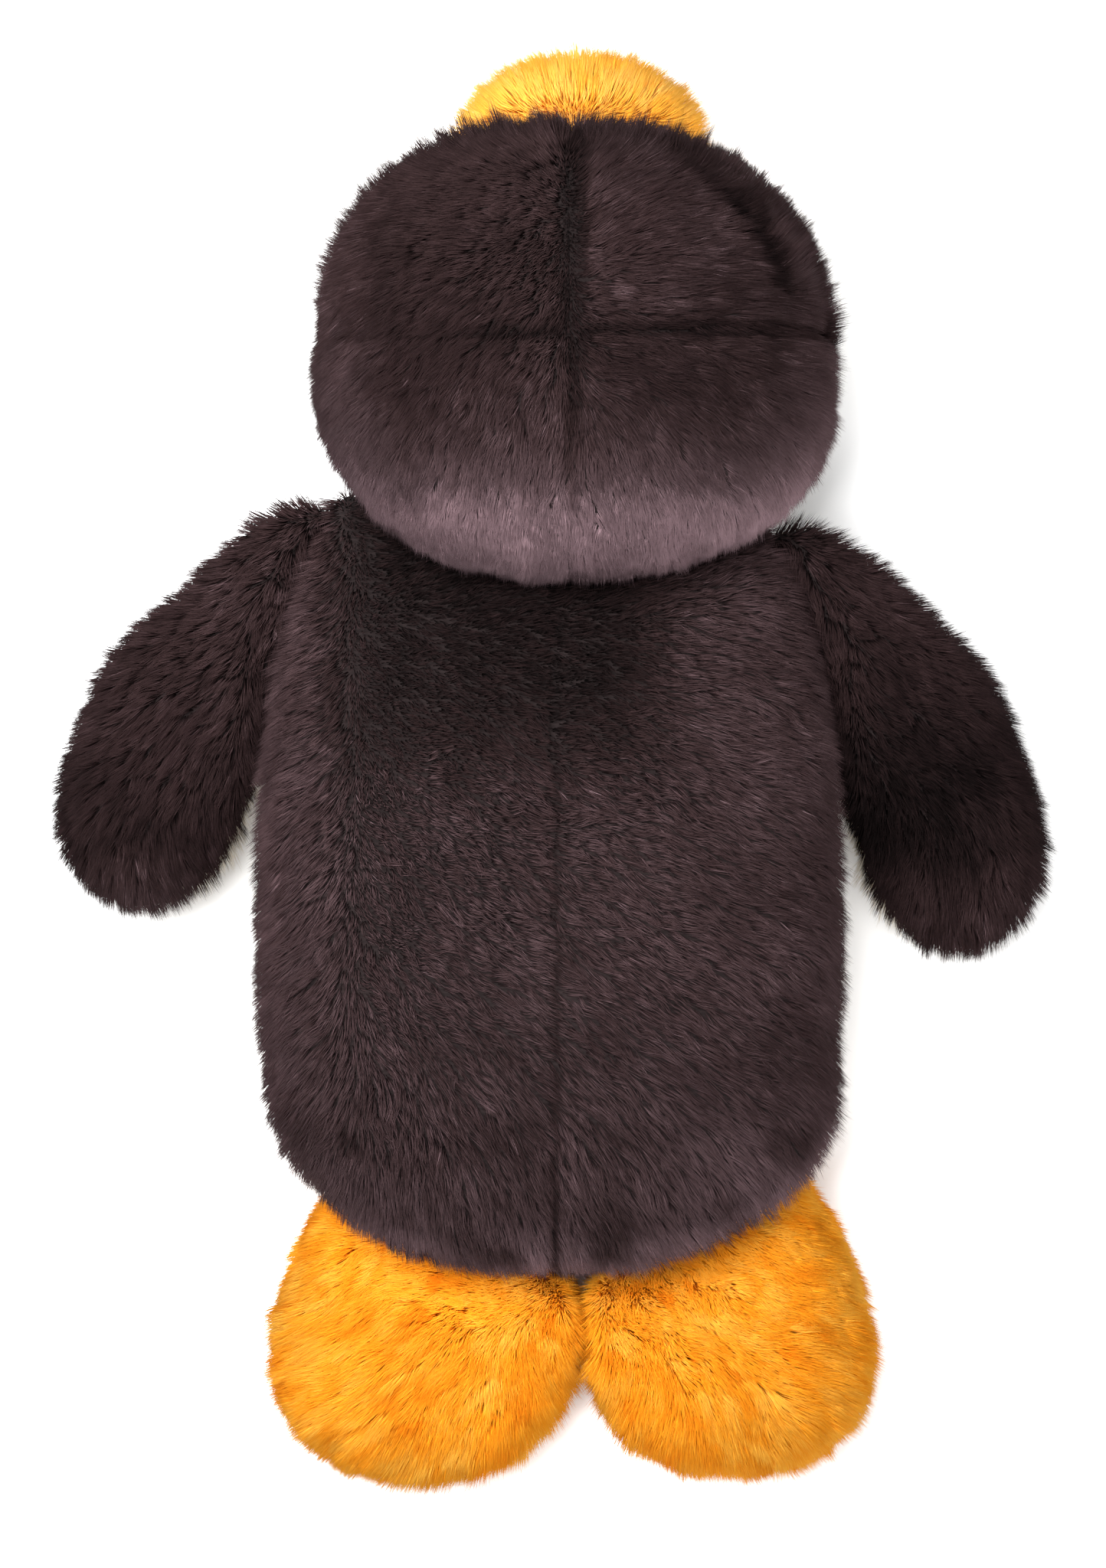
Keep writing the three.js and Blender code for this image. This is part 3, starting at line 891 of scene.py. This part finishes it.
def cloth_material(name, color):
    """A knitted backing: rows of small loops, with patches of uneven dye."""
    nodes = Nodes(name)
    rows = nodes.add("TexWave", wave_type="BANDS", bands_direction="Y", wave_profile="SIN")
    for setting, value in {"Scale": 380, "Distortion": 3, "Detail Scale": 2}.items():
        rows.inputs[setting].default_value = value
    nodes.link(nodes.add("TexCoord").outputs["Object"], rows.inputs["Vector"])
    dye = nodes.ramp(nodes.noise(scale=90), [(0.3, scaled(color, 0.75)), (0.7, color)])
    loops = nodes.ramp(rows.outputs["Fac"], [(0, grey(0.7)), (1, grey(1))])
    nodes.link(nodes.mixed("MULTIPLY", 1, dye, loops), nodes.shader.inputs["Base Color"])
    nodes.bump(rows.outputs["Fac"], strength=0.5, distance=0.2 * MM)
    nodes.set(Roughness=0.9, Specular_IOR_Level=0.15)
    return nodes.material


def filling_material():
    """White polyester fibre, in loose wisps."""
    nodes = Nodes("filling")
    wisps = nodes.noise(scale=420, detail=8, roughness=0.75)
    color = nodes.ramp(wisps, [(0.25, (0.62, 0.61, 0.58)), (0.75, (0.93, 0.93, 0.91))])
    nodes.link(color, nodes.shader.inputs["Base Color"])
    nodes.bump(wisps, strength=0.8, distance=0.5 * MM)
    nodes.set(Roughness=0.95, Specular_IOR_Level=0.1, Sheen_Weight=0.3)
    return nodes.material


def eye_material():
    """Polished black plastic with a faint warm depth and fine handling marks."""
    nodes = Nodes("eye_plastic")
    depth = nodes.noise(scale=160)
    color = nodes.ramp(depth, [(0.3, (0.004, 0.0035, 0.0035)), (0.75, (0.012, 0.008, 0.006))])
    nodes.link(color, nodes.shader.inputs["Base Color"])
    wear = nodes.ramp(nodes.noise(scale=900, detail=6), [(0.35, grey(0.07)), (0.8, grey(0.16))])
    nodes.link(wear, nodes.shader.inputs["Roughness"])
    nodes.set(Specular_IOR_Level=0.1)
    return nodes.material


def washer_material():
    """Moulded milky plastic."""
    nodes = Nodes("washer_plastic")
    cloud = nodes.noise(scale=500)
    color = nodes.ramp(cloud, [(0.3, (0.74, 0.73, 0.68)), (0.7, (0.86, 0.85, 0.81))])
    nodes.link(color, nodes.shader.inputs["Base Color"])
    nodes.bump(cloud, strength=0.2, distance=0.1 * MM)
    nodes.set(Roughness=0.42, Subsurface_Weight=0.1, Subsurface_Scale=1 * MM)
    return nodes.material


# Where each color stands in a pile's tone map, from its darkest fibres to its palest.
DARK_TONES = [
    (0, (0.004, 0.0022, 0.0022)),
    (0.5, (0.036, 0.0195, 0.0198)),
    (0.68, (0.06, 0.0345, 0.036)),
    # The palest stops give the painted sheen on the nape and the back.
    (0.84, (0.14, 0.086, 0.093)),
    (1, (0.50, 0.33, 0.365)),
]
CREAM_TONES = [(0, (0.62, 0.53, 0.40)), (0.5, (0.82, 0.76, 0.65)), (1, (0.92, 0.89, 0.82))]
FOOT_TONES = [(0, (0.67, 0.165, 0.003)), (0.5, (0.77, 0.29, 0.012)), (1, (0.84, 0.43, 0.055))]
BEAK_TONES = [(0, (0.88, 0.36, 0.02)), (0.5, (0.92, 0.47, 0.06)), (1, (0.94, 0.57, 0.15))]
PILES = {
    "dark_plush": pile_material("dark_pile", DARK_TONES, 0.35),
    "cream_plush": pile_material("cream_pile", CREAM_TONES, 0.7),
    "foot_plush": pile_material("foot_pile", FOOT_TONES, 1.0),
    "beak_plush": pile_material("beak_pile", BEAK_TONES, 0.92),
}
CLOTHS = {
    "dark_plush": cloth_material("dark_cloth", (0.016, 0.010, 0.010)),
    "cream_plush": cloth_material("cream_cloth", (0.66, 0.58, 0.47)),
    "foot_plush": cloth_material("foot_cloth", (0.88, 0.27, 0.01)),
    "beak_plush": cloth_material("beak_cloth", (0.88, 0.33, 0.03)),
}
FILLING = filling_material()
EYE = eye_material()
WASHER = washer_material()


def slot_of(panel):
    """The plush that a panel is cut from."""
    if panel.startswith("beak"):
        return "beak_plush"
    if panel.startswith("foot"):
        return "foot_plush"
    if panel in FACE or panel.startswith("belly") or panel.endswith("front"):
        return "cream_plush"
    return "dark_plush"


# ---------- the stuffed parts ----------
def dressed(piece, material, attach):
    """The piece with its material, passed to attach."""
    piece.data.materials.append(material)
    attach(piece)
    return piece


def stuffed_part(label, panels, attach, fill, seed, **shape):
    """Backing cloth and pile for every panel, and the filling inside them."""
    stuffing = f"{label}_stuffing"
    form = soft_form([*panels, stuffing], panels, **{**FORM, **shape})
    for number, panel in enumerate(panels):
        slot = slot_of(panel)
        cloth = dressed(cloth_piece(form, panel, f"{panel}_cloth"), CLOTHS[slot], attach)
        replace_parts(cloth, panel)
        dressed(pile_piece(form, panel, coat_of(panel), seed + 10 * number), PILES[slot], attach)
    filling = dressed(filling_piece(form, f"{label}_filling", seed + 5), FILLING, attach)
    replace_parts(filling, stuffing)


def rides(body):
    return lambda piece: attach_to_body(piece, body)


def blends(body, start, end):
    return lambda piece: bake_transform(piece)


def joint_vector(name, key):
    """A joint's place (pos_m) or its axis."""
    return next(Vector(joint[key]) for joint in frame["joints"] if joint["name"] == name)


NECK_BEND = (26 * MM, -4 * MM)  # from the shoulders to just inside the head
WING_REACH = 11 * MM  # how far a wing's root goes into the body
WING_SHIFT = 5 * MM  # and how far towards the head
SHOULDER_RISE = {"left": -7 * MM, "right": -4 * MM}
WING_BEND = (-5 * MM, 7 * MM)  # from inside the body to just outside it, across the root
ANKLE_REACH = 14 * MM
ANKLE_BEND = (-4 * MM, 18 * MM)


def torso():
    """The body, whose upper end carries on into the head."""
    neck = joint_vector("neck_nod", "pos_m")
    low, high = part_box("body_stuffing")
    right_hip, left_hip = [(x, high.y - 18 * MM, BODY_MIDDLE.z) for x in (low.x, high.x)]
    shoulder = (high.x - 11 * MM, low.y + 4 * MM, BODY_MIDDLE.z)
    stuffed_part(
        "body",
        (*BACK, *BELLY, "seat"),
        blends("head", *(neck + Vector((0, place, 0)) for place in NECK_BEND)),
        fill=0.8,
        seed=1000,
        reach=(0, -7 * MM, 0),
        neighbours=[*NAPE, *FACE],
        bare_limit=14 * MM,
        grabs=[
            (right_hip, 26 * MM, (-3 * MM, 1 * MM, 0)),
            (left_hip, 24 * MM, (1.5 * MM, 0, 0)),
            (shoulder, 18 * MM, (1 * MM, -4 * MM, 0)),
        ],
    )


def head():
    """The head, whose seams hardly show on the nape and high on its left side."""
    low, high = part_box("head_stuffing")
    cheek = (low.x, high.y - 18 * MM, HEAD_MIDDLE.z)
    temple = (high.x, HEAD_MIDDLE.y - 14 * MM, HEAD_MIDDLE.z)
    stuffed_part(
        "head",
        (*CROWN, *NAPE, "brow_band", *FACE),
        rides("head"),
        fill=0.9,
        seed=2000,
        pull=2.2 * MM,
        faint=[
            ((HEAD_MIDDLE.x, high.y - 6 * MM, HEAD_MIDDLE.z + 10 * MM), 40 * MM),
            ((high.x - 10 * MM, HEAD_MIDDLE.y, HEAD_MIDDLE.z + 24 * MM), 34 * MM),
        ],
        grabs=[(cheek, 32 * MM, (-2 * MM, 0.5 * MM, 0)), (temple, 26 * MM, (-1.3 * MM, 0, 0))],
    )


def beak():
    """The beak, whose root carries on into the head."""
    stuffed_part(
        "beak",
        ("beak_upper", "beak_lower"),
        rides("head"),
        fill=0.85,
        seed=3000,
        reach=(0, 12 * MM, 0),
        depth=1.8 * MM,
        pull=0.8 * MM,
        voxel=2.2 * MM,
        rounds=4,
        bare_limit=16 * MM,
    )


def wing_grabs(name):
    """The shoulder pulled up to the neck, the upper edge taken in, and the outer edge let out."""
    side = SIDES[name]
    low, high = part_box(f"wing_{name}_back")
    inner, outer = (low.x, high.x) if side > 0 else (high.x, low.x)
    middle = (low.z + high.z) / 2
    shoulder = Vector((inner, low.y, middle))
    upper = Vector((inner + 0.45 * (outer - inner), low.y + 0.2 * (high.y - low.y), middle))
    edge = Vector((outer, low.y + 0.75 * (high.y - low.y), middle))
    return [
        (shoulder, 24 * MM, (-11 * side * MM, SHOULDER_RISE[name], 3 * MM)),
        (upper, 20 * MM, (-1.5 * side * MM, 2.6 * MM, 0)),
        (edge, 26 * MM, (1.4 * side * MM, 0, 0)),
    ]


def wing(name, seed):
    """A wing whose root carries on into the body's side seam."""
    axis = joint_vector(f"wing_{name}_flap", "axis")
    root = joint_vector(f"wing_{name}_flap", "pos_m")
    out = Vector((SIDES[name], 0, 0))
    out = (out - axis * out.dot(axis)).normalized()
    attach = blends(f"wing_{name}", root + out * WING_BEND[0], root + out * WING_BEND[1])
    stuffed_part(
        f"wing_{name}",
        (f"wing_{name}_back", f"wing_{name}_front"),
        attach,
        fill=0.55,
        seed=seed,
        grabs=wing_grabs(name),
        reach=-out * WING_REACH + Vector((0, -WING_SHIFT, 0)),
        depth=1.4 * MM,
        pull=0.7 * MM,
        voxel=2.4 * MM,
        rounds=3,
        bare_limit=13 * MM,
    )


def foot(name, seed):
    """A foot whose ankle carries on into the body. Its inner edge is let out towards the other foot."""
    ankle = joint_vector(f"foot_{name}_flex", "pos_m")
    out = Vector((0, 1, 0))
    attach = blends(f"foot_{name}", ankle + out * ANKLE_BEND[0], ankle + out * ANKLE_BEND[1])
    side = SIDES[name]
    low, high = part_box(f"foot_{name}_sole")
    inner = Vector((low.x if side > 0 else high.x, (low.y + high.y) / 2, high.z - 8 * MM))
    crotch = Vector((inner.x, low.y + 21 * MM, inner.z))
    stuffed_part(
        f"foot_{name}",
        (f"foot_{name}_sole", f"foot_{name}_instep"),
        attach,
        fill=0.75,
        seed=seed,
        grabs=[(inner, 24 * MM, (-2 * side * MM, 0, 0)), (crotch, 17 * MM, (-4 * side * MM, 0, 0))],
        reach=-out * ANKLE_REACH,
        depth=1.8 * MM,
        pull=1 * MM,
        rounds=4,
        bare_limit=10 * MM,
    )


# ---------- eyes ----------
EYE_SINK = 1.2 * MM  # into the pile round it
EYE_RADIUS = 4.6 * MM
EYE_BULGE = 3.2 * MM  # from the dome's top to its widest ring
EYE_RIM = 0.5 * MM  # of the bevel behind it
EYE_BACK = 1.2 * MM  # from the widest ring to the post
DOME_STEPS = 14
POST_RADIUS = 1.5 * MM
GROOVE_RADIUS = 1.25 * MM  # of the post between its ribs
RIB_PITCH = 1.2 * MM
RIB_HEIGHT = 0.7 * MM
WASHER_RADIUS = 5 * MM
WASHER_HOLE = 1.7 * MM
WASHER_COLLAR = 2.5 * MM
LATHE_STEPS = 48


def lathe(name, profile):
    """A closed solid of revolution about +Z, from (radius, height) corners given from top to bottom."""
    solid = bmesh.new()
    angles = [k * math.tau / LATHE_STEPS for k in range(LATHE_STEPS)]
    rings = []
    for radius, height in profile:
        if radius == 0:
            rings.append([solid.verts.new((0, 0, height))] * LATHE_STEPS)
            continue
        places = [(radius * math.cos(a), radius * math.sin(a), height) for a in angles]
        rings.append([solid.verts.new(place) for place in places])
    for upper, lower in zip(rings, rings[1:]):
        for k in range(LATHE_STEPS):
            after = (k + 1) % LATHE_STEPS
            corners = (upper[k], lower[k], lower[after], upper[after])
            solid.faces.new(dict.fromkeys(corners))
    mesh = bpy.data.meshes.new(name)
    solid.to_mesh(mesh)
    solid.free()
    smooth_shaded(mesh)
    return new_object(name, mesh)


def axis_frame(node):
    """A node of revolution's outer end, its axis, pointing out of the head, and its length along it."""
    points = np.array([v.co for v in node_mesh(node).vertices])
    middle = points.mean(0)
    _, _, rows = np.linalg.svd(points - middle)
    spans = [np.ptp((points - middle) @ row) for row in rows]
    different = int(np.argmax([abs(span - np.median(spans)) for span in spans]))
    axis = rows[different] * -math.copysign(1, rows[different][1])
    centre = (points.min(0) + points.max(0)) / 2
    reach = (points - centre) @ axis
    return Vector(centre + axis * reach.max()), Vector(axis), reach.max() - reach.min()


def turned_part(name, profile, top, axis):
    """A lathed solid whose profile starts at the top and runs back along the axis."""
    piece = lathe(name, profile)
    piece.data.transform(Matrix.Translation(top) @ axis.to_track_quat("Z", "Y").to_matrix().to_4x4())
    return piece


def eye(name):
    """A safety eye: a polished dome on a ribbed post that goes into the head."""
    tip, axis, depth = axis_frame(f"eye_{name}")
    tip -= axis * EYE_SINK
    angles = np.linspace(0, math.pi / 2, DOME_STEPS)
    dome = [(EYE_RADIUS * math.sin(a), EYE_BULGE * (math.cos(a) - 1)) for a in angles]
    rim = [
        (EYE_RADIUS, -EYE_BULGE - EYE_RIM),
        (EYE_RADIUS - EYE_RIM, -EYE_BULGE - 2 * EYE_RIM),
        (POST_RADIUS + 0.4 * MM, -EYE_BULGE - EYE_BACK),
    ]
    post = []
    height = -EYE_BULGE - EYE_BACK - 0.4 * MM
    while height - RIB_PITCH > -depth + 1 * MM:
        post += [
            (POST_RADIUS, height),
            (POST_RADIUS, height - RIB_HEIGHT),
            (GROOVE_RADIUS, height - RIB_HEIGHT - 0.2 * MM),
        ]
        height -= RIB_PITCH
    post += [(1.1 * MM, -depth + 0.5 * MM), (0.6 * MM, -depth), (0, -depth)]
    bead = turned_part(f"eye_{name}_bead", dome + rim + post, tip, axis)
    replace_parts(dressed(bead, EYE, rides("head")), f"eye_{name}")


def eye_washer(name):
    """The lock washer on an eye's post."""
    top, axis, thickness = axis_frame(f"eye_washer_{name}")
    profile = [
        (WASHER_HOLE, -0.15 * thickness),
        (WASHER_COLLAR, 0),
        (WASHER_RADIUS - 0.9 * MM, -0.3 * thickness),
        (WASHER_RADIUS, -0.45 * thickness),
        (WASHER_RADIUS, -0.8 * thickness),
        (WASHER_RADIUS - 0.3 * MM, -thickness),
        (WASHER_COLLAR, -thickness),
        (WASHER_HOLE, -0.7 * thickness),
        (WASHER_HOLE, -0.15 * thickness),
    ]
    washer = turned_part(f"eye_washer_{name}_lock", profile, top, axis)
    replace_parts(dressed(washer, WASHER, rides("head")), f"eye_washer_{name}")


torso()
head()
beak()
for order, name in enumerate(SIDES):
    wing(name, seed=4000 + 1000 * order)
    foot(name, seed=6000 + 1000 * order)
    eye(name)
    eye_washer(name)


# ---------- stage, light and camera ----------
PICTURE_HEIGHT = 272.8 * MM  # of the plane through the middle of the toy
PICTURE_PLANE = 35 * MM  # above the floor
CAMERA_HEIGHT = 2.5  # metres
CAMERA_PLACE = (-0.4 * MM, 2.6 * MM)  # in x and y
SENSOR = 36  # millimetres
FAR_CLIP = 20
FLOOR_REACH = 6
LIGHT_TARGET = (0, 0, 30 * MM)
WORLD_STRENGTH = 1.02


def floor_material():
    nodes = Nodes("paper")
    color = nodes.ramp(nodes.noise(scale=9), [(0.3, grey(0.93)), (0.7, grey(0.95))])
    nodes.link(color, nodes.shader.inputs["Base Color"])
    nodes.set(Roughness=0.9, Specular_IOR_Level=0.1)
    return nodes.material


def add_floor():
    mesh = bpy.data.meshes.new("floor")
    corners = [(x * FLOOR_REACH, y * FLOOR_REACH, 0) for x, y in ((-1, -1), (1, -1), (1, 1), (-1, 1))]
    mesh.from_pydata(corners, [], [(0, 1, 2, 3)])
    mesh.materials.append(floor_material())
    floor = new_object("floor", mesh)


def add_light(name, place, size, power):
    data = bpy.data.lights.new(name, "AREA")
    data.size = size
    data.energy = power
    light = new_object(name, data)
    light.location = place
    light.rotation_euler = (Vector(LIGHT_TARGET) - Vector(place)).to_track_quat("-Z", "Y").to_euler()


def add_world():
    world = bpy.data.worlds.new("studio")
    world.use_nodes = True
    background = world.node_tree.nodes["Background"]
    background.inputs["Color"].default_value = (1, 1, 1, 1)
    background.inputs["Strength"].default_value = WORLD_STRENGTH
    bpy.context.scene.world = world


def add_camera():
    data = bpy.data.cameras.new("camera")
    data.sensor_fit = "VERTICAL"
    data.sensor_height = SENSOR
    data.lens = SENSOR * (CAMERA_HEIGHT - PICTURE_PLANE) / PICTURE_HEIGHT
    data.clip_end = FAR_CLIP
    camera = new_object("camera", data)
    camera.location = (*CAMERA_PLACE, CAMERA_HEIGHT)
    camera.rotation_euler = (0, 0, math.pi)
    bpy.context.scene.camera = camera


add_floor()
add_world()
add_light("key", (0.42, -0.3, 1.6), size=0.9, power=66)
add_light("fill", (-0.7, 1.1, 1.5), size=1.6, power=14)
add_camera()
bpy.context.scene.view_settings.view_transform = "Standard"
